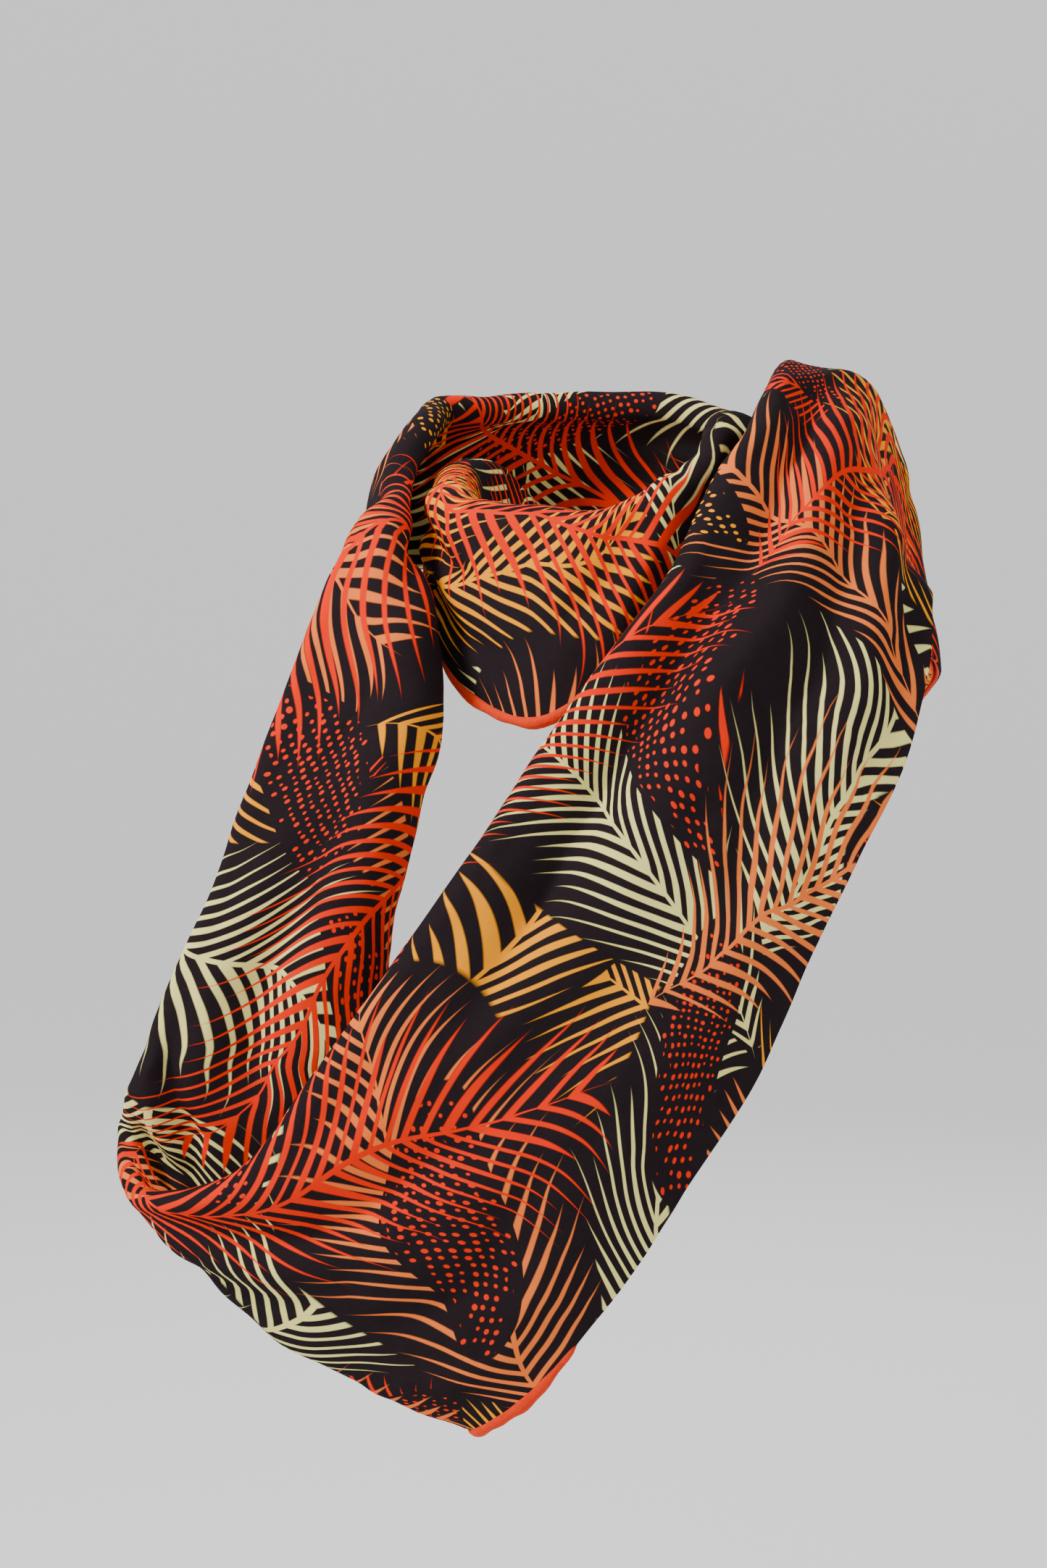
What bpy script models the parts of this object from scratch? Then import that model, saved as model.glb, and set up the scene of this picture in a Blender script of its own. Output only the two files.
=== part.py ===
"""Infinity scarf in the form it takes when worn: wound twice round a neck, with a long loop on the chest.

The scarf is a single ring of cloth, printed cotton outside and soft lining inside, folded in half along
its length with the lining in. One long edge of the folded band is the soft fold, the other is open.
Every section of the band is drawn from three places: the fold, the crest where the band bends over,
and the open edge. The doubled wall follows that bent line and turns round in a roll at the fold.

Frame: metres, +Z up, the wearer faces -Y, +X is the wearer's left. The origin is the middle of the
nape, where the fold of the inner back stretch lies against the neck.
"""

import math
from typing import NamedTuple

import bpy
import numpy as np

# Driving dimensions, in millimetres unless the name says otherwise
MM = 0.001
WALL = 2.0  # printed cotton and lining together
SEAM_GAP = 0.3  # between two stretches
SLIT = 1.2  # between the two layers at the open edge
RING_PITCH = 31.0  # most room between two sections along the longest rail
VIEW_TURN_DEG = 20.0  # the sections are measured across, up and out of a view turned this far to the left
NAPE_BACK = 65.0  # from the neck's axis back to the origin
NAPE_UP = 70.0  # from the level of the collar up to the origin

# Steps of a section: along each leg, round the crest and round the roll
LEG_STEPS = 6
CREST_STEPS = 7
ROLL_STEPS = 6
SHARP_DEG = 60.0  # edges of the wall sharper than this stay sharp
ARC_POINTS = 16  # points that draw the crest's arc before it is measured off

PLUMP_RISE = 1.6  # the layers have their full room one part in this many of the width from the open edge
ROLL_START = 0.72  # share of the width where the layers begin to part for the roll
TIGHTEST = 0.92  # share of the widest bend at a crest that still leaves both legs straight
SPACING_POWER = 0.5  # how the table's spacing weighs on the easing between its rows
LOOK = 0.02  # share of the way to the next row over which the band's travel is measured
REACH = 0.5  # length over which a section's heading is measured
FOLD_POINTS = 13  # points along the path of a soft fold
FOLD_FADE = 0.35  # share of its path over which a soft fold fades in and out
FOLD_NEAR = 1.6  # sections beyond its ends that a soft fold can still reach

# Lining roll that shows under the open edge
NECK_ROLL = 1.8  # radius at the front of the neck
TIP_ROLL = 1.2  # radius round the bottom corner
ROLL_TAPER = 0.35  # share of the radius left at the ends

PRINT_COLOR = (0.017, 0.013, 0.016, 1.0)
LINING_COLOR = (0.80, 0.09, 0.022, 1.0)
CLOTH_ROUGHNESS = 0.85


class Section(NamedTuple):
    """One section of the folded band, sizes in mm as (across, up, out)."""

    name: str
    fold: tuple[float, float, float]
    crest: tuple[float, float, float]
    edge: tuple[float, float, float]
    bend: float
    roll: float
    plump: float


# The ring in the order it is wound: name, fold, crest, open edge, radius of the bend at the crest,
# radius of the roll at the fold, room between the layers.
SECTIONS = (
    Section("side_1", (-79, 74, -45), (-104, 45, -48), (-100, 8, -45), 60, 6, 2),
    Section("side_2", (-84, 69, -20), (-107, 36, -20), (-106, 4, -18), 60, 6, 2),
    Section("side_3", (-92, 58, 5), (-106, 28, 8), (-110, 0, 8), 40, 6, 2),
    Section("strand_1", (-101, 41, 34), (-97, 28, 38), (-109, 0, 26), 14, 6, 2),
    Section("strand_2", (-113, 21, 60), (-92, 20, 66), (-110, -8, 40), 12, 7, 3),
    Section("strand_3", (-126, -6, 82), (-86, -5, 92), (-108, -26, 60), 12, 8, 3),
    Section("strand_4", (-137, -34, 92), (-84, -34, 104), (-108, -52, 74), 12, 8, 3),
    Section("strand_5", (-148, -62, 97), (-91, -60, 112), (-112, -80, 80), 13, 8, 3),
    Section("strand_6", (-163, -104, 98), (-104, -103, 116), (-115, -124, 86), 16, 8, 3),
    Section("strand_7", (-181, -142, 94), (-112, -142, 114), (-102, -170, 92), 24, 8, 3),
    Section("strand_8", (-195, -178, 87), (-118, -190, 108), (-84, -222, 104), 60, 7, 3),
    Section("strand_9", (-198, -190, 83), (-129, -231, 102), (-76, -258, 112), 90, 5.5, 3),
    Section("turn_1", (-198, -202, 90), (-134, -252, 104), (-71, -279, 121), 90, 4.5, 2),
    Section("turn_2", (-192, -209, 101), (-138, -259, 114), (-69, -288, 130), 90, 4.5, 2),
    Section("turn_3", (-183, -209, 112), (-127, -251, 126), (-61, -284, 138), 90, 5, 2),
    Section("panel_1", (-169, -205, 122), (-107, -236, 138), (-48, -274, 141), 120, 6.5, 3),
    Section("panel_2", (-149, -194, 131), (-90, -218, 146), (-32, -255, 143), 120, 8, 3),
    Section("panel_3", (-124, -160, 139), (-62, -190, 153), (-12, -228, 145), 120, 8, 3),
    Section("panel_4", (-90, -112, 141), (-34, -146, 155), (8, -195, 147), 120, 8, 3),
    Section("panel_5", (-67, -80, 138), (-12, -108, 154), (29, -162, 149), 120, 8, 3),
    Section("panel_6", (-41, -42, 131), (12, -66, 150), (48, -118, 149), 110, 8, 3),
    Section("panel_7", (-22, -16, 124), (26, -36, 142), (65, -83, 145), 100, 8, 3),
    Section("panel_8", (1, 15, 114), (44, -6, 128), (82, -51, 134), 80, 8, 3),
    Section("panel_9", (11, 35, 103), (56, 20, 110), (92, -18, 114), 50, 8, 3),
    Section("panel_10", (19, 50, 92), (68, 40, 88), (95, 4, 90), 30, 8, 3),
    Section("over_1", (29, 62, 79), (71, 55, 62), (92, 5, 64), 22, 7.5, 3),
    Section("over_2", (37, 76, 57), (73, 68, 33), (93, 0, 34), 20, 7.5, 3),
    Section("over_3", (45, 83, 26), (80, 78, 2), (98, -14, 4), 20, 7, 3),
    Section("outer_1", (68, 76, -22), (98, 36, -32), (112, -34, -40), 40, 7, 3),
    Section("outer_2", (72, 55, -56), (89, 4, -76), (86, -68, -88), 70, 7, 3),
    Section("outer_3", (42, 22, -79), (48, -26, -104), (40, -80, -114), 90, 7, 3),
    Section("outer_4", (8, 4, -80), (8, -30, -100), (0, -68, -108), 90, 7, 3),
    Section("outer_5", (-20, 8, -63), (-31, -14, -84), (-43, -46, -88), 60, 6, 3),
    Section("outer_6", (-40, 16, -44), (-55, 28, -60), (-68, -22, -66), 20, 5, 2),
    Section("wrap_1", (-53, 26, -33), (-63, 48, -36), (-78, 0, -38), 6.5, 5, 2),
    Section("wrap_2", (-61, 20, -13), (-73, 50, -16), (-86, 0, -12), 6, 5, 2),
    Section("wrap_3", (-62, 14, 12), (-77, 46, 10), (-86, 0, 16), 6, 5, 2),
    Section("wrap_4", (-57, 6, 34), (-77, 43, 34), (-84, -5, 50), 6.5, 5, 2),
    Section("wrap_5", (-48, 0, 52), (-69, 37, 60), (-69, -29, 86), 7.5, 5, 2),
    Section("wrap_6", (-32, -4, 66), (-44, 35, 82), (-45, -38, 105), 8, 5, 2),
    Section("wrap_7", (-14, 0, 72), (-22, 34, 88), (-26, -27, 107), 8, 5, 2),
    Section("wrap_8", (6, 10, 67), (-1, 44, 84), (-1, -2, 96), 7.5, 5, 2),
    Section("wrap_9", (24, 26, 54), (15, 54, 70), (27, 23, 77), 7, 4.5, 2),
    Section("pinch_1", (35, 40, 41), (23, 68, 55), (40, 36, 59), 7, 4.5, 2),
    Section("pinch_2", (42, 50, 37), (43, 60, 50), (53, 28, 47), 7, 4.5, 2),
    Section("pinch_3", (55, 56, 22), (65, 50, 27), (64, 20, 27), 11, 5, 2),
    Section("inner_1", (62, 58, 0), (74, 40, 0), (68, 12, 0), 30, 5, 2),
    Section("inner_2", (55, 55, -31), (65, 38, -37), (59, 12, -34), 40, 5, 2),
    Section("inner_3", (37, 66, -53), (45, 44, -64), (40, 16, -57), 40, 6, 2),
    Section("inner_4", (12, 75, -67), (15, 50, -85), (14, 20, -77), 50, 6, 2),
    Section("inner_5", (-19, 76, -72), (-25, 52, -94), (-23, 18, -87), 50, 6, 2),
    Section("inner_6", (-54, 75, -64), (-69, 48, -82), (-64, 12, -77), 60, 6, 2),
)


class SoftFold(NamedTuple):
    """A soft trough or ridge: height and half width in mm, spots as section and share from the open edge."""

    height: float  # above zero towards the layer that faces out on the chest panel
    width: float
    spots: tuple[tuple[str, float], ...]


SOFT_FOLDS = (
    # Top of the chest panel and shoulder, drawn together by the turn
    SoftFold(-4.6, 6.0, (("over_2", 0.84), ("over_1", 0.82), ("panel_9", 0.81), ("panel_7", 0.85))),
    SoftFold(3.4, 7.0, (("over_3", 0.68), ("over_1", 0.68), ("panel_9", 0.65), ("panel_6", 0.70))),
    SoftFold(-3.8, 7.5, (("over_1", 0.52), ("panel_10", 0.49), ("panel_8", 0.45), ("panel_6", 0.42))),
    SoftFold(3.2, 8.5, (("over_1", 0.36), ("panel_10", 0.32), ("panel_8", 0.26), ("panel_7", 0.22))),
    SoftFold(-2.8, 7.5, (("over_1", 0.20), ("panel_10", 0.17), ("panel_8", 0.12))),
    # Chest panel, broad
    SoftFold(-2.8, 16.0, (("panel_2", 0.84), ("panel_3", 0.60), ("panel_5", 0.50))),
    SoftFold(2.8, 15.0, (("panel_3", 0.24), ("panel_5", 0.28), ("panel_6", 0.20))),
    # Pulls that run out from the bottom turn
    SoftFold(-3.0, 7.0, (("turn_3", 0.96), ("panel_1", 0.82), ("panel_2", 0.70), ("panel_3", 0.62))),
    SoftFold(2.8, 7.0, (("turn_2", 0.94), ("turn_3", 0.78), ("panel_1", 0.62))),
    SoftFold(2.8, 6.0, (("strand_8", 0.88), ("strand_9", 0.80), ("turn_1", 0.70))),
    # Left strand: the valley beside its crest, and the lower trough and swell
    SoftFold(4.0, 6.0, (("side_3", 0.72), ("strand_1", 0.70), ("strand_3", 0.66))),
    SoftFold(3.2, 7.0, (("strand_5", 0.66), ("strand_7", 0.70), ("strand_8", 0.64))),
    SoftFold(-2.8, 8.0, (("strand_5", 0.86), ("strand_7", 0.88), ("strand_8", 0.80))),
    # Swags across the back
    SoftFold(-3.8, 9.0, (("outer_1", 0.78), ("outer_2", 0.72), ("outer_3", 0.66), ("outer_5", 0.74))),
    SoftFold(3.2, 10.0, (("outer_1", 0.54), ("outer_3", 0.46), ("outer_5", 0.56))),
    SoftFold(-3.4, 9.5, (("outer_1", 0.30), ("outer_3", 0.24), ("outer_4", 0.28))),
)

# Each stretch that shows: its node, the section where it begins and the one where it ends
STRETCHES = (
    ("left_strand", "side_1", "turn_1"),
    ("bottom_turn", "turn_1", "panel_1"),
    ("front_panel", "panel_1", "over_1"),
    ("shoulder_turn", "over_1", "outer_1"),
    ("back_outer", "outer_1", "wrap_1"),
    ("neck_wrap", "wrap_1", "pinch_1"),
    ("pinch", "pinch_1", "inner_1"),
    ("back_inner", "inner_1", "side_1"),
)

# Lining rolls: node, first section, last section, radius, the layer it hangs from (1 or -1)
LINING_ROLLS = (
    ("lining_roll_neck", "wrap_4", "wrap_8", NECK_ROLL, 1),
    ("lining_roll_tip", "turn_1", "panel_4", TIP_ROLL, 1),
)

FOLD = slice(0, 3)
CREST = slice(3, 6)
EDGE = slice(6, 9)
BEND, ROLL, PLUMP = 9, 10, 11
RAILS = (FOLD, CREST, EDGE)
NAMES = [section.name for section in SECTIONS]
TABLE = np.array([[*s.fold, *s.crest, *s.edge, s.bend, s.roll, s.plump] for s in SECTIONS], float)
COUNT = len(TABLE)


def unit(vector):
    """The vector at length one."""
    return vector / np.linalg.norm(vector)


def row_at(place):
    """The section's sizes at any place round the ring, eased through every row of the table."""
    index = math.floor(place)
    share = place - index
    before, start, end, after = (TABLE[(index + step) % COUNT] for step in (-1, 0, 1, 2))

    def gap(one, other):
        apart = np.linalg.norm((one - other)[: EDGE.stop]) / math.sqrt(len(RAILS))
        return max(apart, 1.0) ** SPACING_POWER

    first, middle, last = gap(before, start), gap(start, end), gap(end, after)
    slope_in = ((start - before) / first - (end - before) / (first + middle) + (end - start) / middle) * middle
    slope_out = ((end - start) / middle - (after - start) / (middle + last) + (after - end) / last) * middle
    cube, square = share**3, share**2
    row = (2 * cube - 3 * square + 1) * start
    row += (cube - 2 * square + share) * slope_in
    row += (3 * square - 2 * cube) * end
    row += (cube - square) * slope_out
    return row


class MiddleLine:
    """The bent line between the two layers of one section: edge leg, arc at the crest, fold leg."""

    def __init__(self, row):
        crest = row[CREST]
        up = unit(unit(crest - row[FOLD]) + unit(crest - row[EDGE]))
        side = row[FOLD] - row[EDGE]
        side = unit(side - up * (side @ up))
        fold = self._flat(row[FOLD] - crest, side, up)
        edge = self._flat(row[EDGE] - crest, side, up)
        bend = min(row[BEND], self._widest(fold), self._widest(edge))
        fold_angle = self._tangent(fold, bend, 1)
        edge_angle = self._tangent(edge, bend, -1) % math.tau
        angles = np.linspace(edge_angle, fold_angle, ARC_POINTS + 1)
        arc = [np.array([math.cos(a), math.sin(a) - 1.0]) * bend for a in angles]
        self.points = np.array([crest + side * x + up * y for x, y in (edge, *arc, fold)])
        steps = np.linalg.norm(np.diff(self.points, axis=0), axis=1)
        self.lengths = np.concatenate([[0.0], np.cumsum(steps)])
        self.total = self.lengths[-1]

    @staticmethod
    def _flat(offset, side, up):
        return np.array([offset @ side, offset @ up])

    @staticmethod
    def _widest(point):
        """Nearly the largest bend radius that leaves this end outside its circle."""
        return TIGHTEST * (point @ point) / (2 * max(-point[1], REACH))

    @staticmethod
    def _tangent(point, bend, turn):
        """Angle at which a straight leg from the point meets the circle of the bend."""
        offset = point + np.array([0.0, bend])
        spread = math.acos(min(bend / np.linalg.norm(offset), 1.0))
        return math.atan2(offset[1], offset[0]) + turn * spread

    def at(self, length):
        """The point this far from the open edge, along the line."""
        return np.array([np.interp(length, self.lengths, self.points[:, axis]) for axis in range(3)])

    def heading(self, length):
        """The direction of the line there, from the open edge to the fold."""
        return unit(self.at(min(length + REACH, self.total)) - self.at(max(length - REACH, 0.0)))

    def measures(self, end):
        """Lengths at which a section has its points: edge leg, crest, fold leg up to the roll."""
        start, stop = self.lengths[1], min(self.lengths[-2], end - REACH)
        yield from np.linspace(0.0, start, LEG_STEPS, endpoint=False)
        yield from np.linspace(start, stop, CREST_STEPS, endpoint=False)
        yield from np.linspace(stop, end, LEG_STEPS + 1)


def half_room(share, row):
    """Half the distance between the middles of the two layers, at a share of the width."""
    at_edge = (SLIT + WALL) / 2
    inside = (row[PLUMP] + WALL) / 2
    at_roll = row[ROLL] - WALL / 2
    rise = math.sin(min(share * PLUMP_RISE, 1.0) * math.pi / 2)
    part = max(0.0, (share - ROLL_START) / (1.0 - ROLL_START)) ** 2
    return at_edge + (inside - at_edge) * rise + (at_roll - inside) * part


class FoldPath:
    """The path of one soft fold along the band, and how far it lifts the cloth beside it."""

    def __init__(self, fold):
        self.fold = fold
        steps = np.linspace(0.0, 1.0, FOLD_POINTS)
        knots = np.linspace(0.0, 1.0, len(fold.spots))
        self.places = np.interp(steps, knots, [NAMES.index(name) for name, _ in fold.spots])
        shares = np.interp(steps, knots, [share for _, share in fold.spots])
        self.points = np.array([self._point(place, share) for place, share in zip(self.places, shares)])
        self.strengths = np.sin(np.minimum(1.0, np.minimum(steps, 1.0 - steps) / FOLD_FADE) * math.pi / 2)

    @staticmethod
    def _point(place, share):
        row = row_at(place)
        line = MiddleLine(row)
        return line.at(share * (line.total - row[ROLL]))

    def lift(self, place, point):
        """Height of the fold at a point of the section at this place."""
        apart = (self.places - place + COUNT / 2) % COUNT - COUNT / 2
        if np.min(np.abs(apart)) > FOLD_NEAR:
            return 0.0
        away = np.linalg.norm(self.points - point, axis=1) / self.fold.width
        return self.fold.height * np.max(np.exp(-(away**2)) * self.strengths)


FOLD_PATHS = [FoldPath(fold) for fold in SOFT_FOLDS]


def band_frames(place):
    """Points between the layers at one place with their heading, normal and the layers' half room."""
    row = row_at(place)
    line, behind, ahead = (MiddleLine(row_at(place + step)) for step in (0.0, -LOOK, LOOK))
    end = line.total - row[ROLL]
    for length in line.measures(end):
        share = length / line.total
        travel = ahead.at(share * ahead.total) - behind.at(share * behind.total)
        heading = line.heading(length)
        normal = unit(np.cross(travel, heading))
        point = line.at(length)
        lift = sum(path.lift(place, point) for path in FOLD_PATHS)
        yield point + normal * lift, heading, normal, half_room(length / end, row)


def skin(frames, shift):
    """One skin of the folded wall: a layer from the open edge, round the roll, and the other layer back."""
    front = [point + normal * (room + shift) for point, _, normal, room in frames]
    back = [point - normal * (room + shift) for point, _, normal, room in reversed(frames)]
    point, heading, normal, room = frames[-1]
    angles = [math.pi * step / ROLL_STEPS for step in range(1, ROLL_STEPS)]
    turns = [normal * math.cos(angle) + heading * math.sin(angle) for angle in angles]
    return front + [point + turn * (room + shift) for turn in turns] + back


def wall_section(place):
    """The closed outline of the wall at one place: the outer skin and the inner skin back again."""
    frames = list(band_frames(place))
    return skin(frames, WALL / 2) + skin(frames, -WALL / 2)[::-1]


def span(first, last):
    """Two section names as places on the ring, the second after the first."""
    start, stop = NAMES.index(first), NAMES.index(last)
    return start, stop if stop > start else stop + COUNT


def runs(index):
    """How far each rail runs from one section to the next."""
    step = TABLE[(index + 1) % COUNT] - TABLE[index % COUNT]
    return [np.linalg.norm(step[rail]) for rail in RAILS]


def places(first, last):
    """Places of the sections of a stretch, closer where a rail runs long."""
    start, stop = span(first, last)
    found = []
    for index in range(start, stop):
        steps = max(1, math.ceil(max(runs(index)) / RING_PITCH))
        found += [index + step / steps for step in range(steps)]
    return [*found, stop]


def half_gap(place):
    """How far the cut ends stand from a seam, so that its tightest point has the seam's gap."""
    pairs = zip(wall_section(place - LOOK / 2), wall_section(place + LOOK / 2))
    tightest = min(np.linalg.norm(ahead - behind) for behind, ahead in pairs)
    return LOOK / 2 * SEAM_GAP / tightest


def cut_places(first, last):
    """Places of a stretch of the wall, with both ends cut back from the seams."""
    start, stop = span(first, last)
    return [start + half_gap(start), *places(first, last)[1:-1], stop - half_gap(stop)]


def to_world(point):
    """A size measured across, up and out of the turned view, as metres in the wearer's frame."""
    across, up, out = point
    turn = math.radians(VIEW_TURN_DEG)
    left = across * math.cos(turn) + out * math.sin(turn)
    back = across * math.sin(turn) - out * math.cos(turn)
    return (left * MM, (back - NAPE_BACK) * MM, (up - NAPE_UP) * MM)


def make_material(name, color):
    """A plain cloth material."""
    material = bpy.data.materials.new(name)
    material.use_nodes = True
    shader = material.node_tree.nodes["Principled BSDF"]
    shader.inputs["Base Color"].default_value = color
    shader.inputs["Roughness"].default_value = CLOTH_ROUGHNESS
    shader.inputs["Metallic"].default_value = 0.0
    material.diffuse_color = color
    return material


def make_stretch(name, first, last, collection):
    """One stretch of the band: a closed wall lofted through its sections, which all differ."""
    rings = [wall_section(place) for place in cut_places(first, last)]
    width = len(rings[0])
    half = width // 2
    top = (len(rings) - 1) * width
    faces = []
    for base in range(0, top, width):
        for column in range(width):
            after = (column + 1) % width
            faces.append((base + column, base + width + column, base + width + after, base + after))
    for column in range(half - 1):
        facing = width - 1 - column
        for corners in ((column, column + 1, facing), (column + 1, facing - 1, facing)):
            faces.append(corners)
            faces.append([top + corner for corner in reversed(corners)])
    mesh = bpy.data.meshes.new(name)
    mesh.from_pydata([to_world(point) for ring in rings for point in ring], [], faces)
    mesh.materials.append(make_material(name + "_cloth", PRINT_COLOR))
    mesh.shade_smooth()
    mesh.set_sharp_from_angle(angle=math.radians(SHARP_DEG))
    collection.objects.link(bpy.data.objects.new(name, mesh))


def make_lining_roll(name, first, last, radius, layer, collection):
    """The lining's soft roll just past the open edge of one layer, thinner at its ends."""
    frames = [next(band_frames(place)) for place in places(first, last)]
    edges = np.array([point + normal * layer * room for point, _, normal, room in frames])
    swells = np.sin(np.linspace(0.0, math.pi, len(frames))) ** 0.5
    curve = bpy.data.curves.new(name, "CURVE")
    curve.dimensions = "3D"
    curve.bevel_depth = radius * MM
    curve.bevel_resolution = 2
    curve.use_fill_caps = True
    spline = curve.splines.new("POLY")
    spline.points.add(len(frames) - 1)
    travels = np.gradient(edges, axis=0)
    for spot, edge, travel, frame, swell in zip(spline.points, edges, travels, frames, swells):
        spot.radius = ROLL_TAPER + (1.0 - ROLL_TAPER) * swell
        inward = unit(np.cross(frame[2], travel))
        spot.co = (*to_world(edge - inward * (SEAM_GAP + radius * spot.radius)), 1.0)
    curve.materials.append(make_material(name + "_cloth", LINING_COLOR))
    roll = bpy.data.objects.new(name, curve)
    collection.objects.link(roll)
    return roll


def main():
    """Builds the whole scarf."""
    for leftover in list(bpy.data.objects):
        bpy.data.objects.remove(leftover)
    collection = bpy.data.collections.new("infinity_scarf")
    bpy.context.scene.collection.children.link(collection)
    for name, first, last in STRETCHES:
        make_stretch(name, first, last, collection)
    for name, first, last, radius, layer in LINING_ROLLS:
        make_lining_roll(name, first, last, radius, layer, collection)


main()
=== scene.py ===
"""Infinity scarf in its worn form: printed cotton with an orange fleece lining.

The scarf is one ring of cloth folded in half along its length. Its sections are measured across, up and
out of a view turned by VIEW_TURN_DEG, in millimetres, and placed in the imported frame: metres, +Z up, the
front towards -Y, the origin at the nape.
"""

import logging
import math
from dataclasses import dataclass, field
from enum import Enum

import bpy
import numpy as np
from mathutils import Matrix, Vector

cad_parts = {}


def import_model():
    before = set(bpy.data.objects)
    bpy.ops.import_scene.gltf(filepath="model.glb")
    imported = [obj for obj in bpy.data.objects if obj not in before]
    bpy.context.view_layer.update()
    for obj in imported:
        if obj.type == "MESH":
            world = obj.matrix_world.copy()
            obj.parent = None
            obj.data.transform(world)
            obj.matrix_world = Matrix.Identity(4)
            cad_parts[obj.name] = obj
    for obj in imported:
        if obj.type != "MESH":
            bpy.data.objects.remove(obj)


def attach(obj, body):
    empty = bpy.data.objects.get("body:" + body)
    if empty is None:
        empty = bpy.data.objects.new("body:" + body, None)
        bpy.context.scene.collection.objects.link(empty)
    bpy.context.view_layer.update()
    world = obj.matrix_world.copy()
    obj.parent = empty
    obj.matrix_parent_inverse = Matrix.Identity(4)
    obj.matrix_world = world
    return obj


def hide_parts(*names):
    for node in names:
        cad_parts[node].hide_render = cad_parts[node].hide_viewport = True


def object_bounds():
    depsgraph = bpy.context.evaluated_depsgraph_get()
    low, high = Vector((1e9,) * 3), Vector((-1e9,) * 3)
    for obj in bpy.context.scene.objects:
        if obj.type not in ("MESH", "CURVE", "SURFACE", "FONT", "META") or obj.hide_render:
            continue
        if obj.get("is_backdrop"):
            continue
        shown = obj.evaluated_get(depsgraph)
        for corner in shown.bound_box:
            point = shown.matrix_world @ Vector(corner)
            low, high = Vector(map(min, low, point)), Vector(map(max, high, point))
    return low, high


LOG = logging.getLogger("infinity_scarf")
Array = np.ndarray
Piece = bpy.types.Object
Socket = bpy.types.NodeSocket
Color = tuple[float, float, float, float]
Place = tuple[float, float, float]
Face = tuple[int, ...]

MM = 0.001
VIEW_TURN_DEG = 20.0
NAPE_BACK = 65.0
NAPE_UP = 70.0
NEARLY_NOUGHT = 1e-12


class Held(Enum):
    """How a stretch of the cloth is held."""

    DRAPED = "draped"
    HUNG = "hung"
    GATHERED = "gathered"
    FOLDED = "folded"


class Motif(Enum):
    """What a layer of the print draws."""

    FRONDS = "fronds"
    SEEDS = "seeds"


@dataclass(frozen=True)
class Section:
    """One section of the folded band: three places as (across, up, out) and three sizes, in mm."""

    name: str
    fold: Place
    crest: Place
    edge: Place
    bend: float
    roll: float
    plump: float

    def row(self) -> list[float]:
        """The section's numbers in one list."""
        return [*self.fold, *self.crest, *self.edge, self.bend, self.roll, self.plump]


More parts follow.
